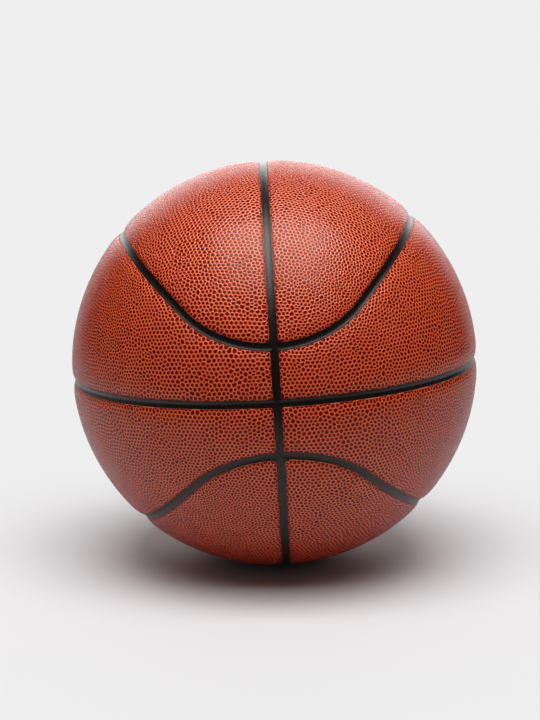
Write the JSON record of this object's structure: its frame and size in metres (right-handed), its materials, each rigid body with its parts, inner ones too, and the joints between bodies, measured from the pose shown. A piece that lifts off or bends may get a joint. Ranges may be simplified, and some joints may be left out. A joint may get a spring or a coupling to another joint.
{
  "type": "basketball",
  "caption": "Inflated leather-covered basketball: pebbled panels between recessed black rubber channels, over a wound bladder with a needle valve.",
  "frame": {"origin": "the ball's centre", "axes": "+Z to the upper pole where the two upper cap panels meet, -Y to the front where the upright channel crosses the equator channel, +X to the right as seen from the front"},
  "size_m": [0.2394, 0.239, 0.2394],
  "materials": {
    "cover": "pebbled, semi-gloss",
    "rib_rubber": "satin",
    "thread": "wound nylon thread",
    "bladder_rubber": "matt",
    "valve_rubber": "matt"
  },
  "bodies": {
    "ball": {"upper_right_cap_panel": "cover", "upper_left_cap_panel": "cover", "lower_right_cap_panel": "cover", "lower_left_cap_panel": "cover", "upper_right_band_panel": "cover", "upper_left_band_panel": "cover", "lower_right_band_panel": "cover", "lower_left_band_panel": "cover", "carcass": "rib_rubber", "thread_winding": "thread", "bladder": "bladder_rubber", "valve_housing": "valve_rubber"},
    "valve_plug": {"valve_plug": "valve_rubber"}
  },
  "joints": [
    {"name": "valve_plug_pull", "type": "slide", "parent": "ball", "child": "valve_plug", "axis": [0.2289, 0.6288, 0.7431], "range_m": [0, 0.025]}
  ]
}
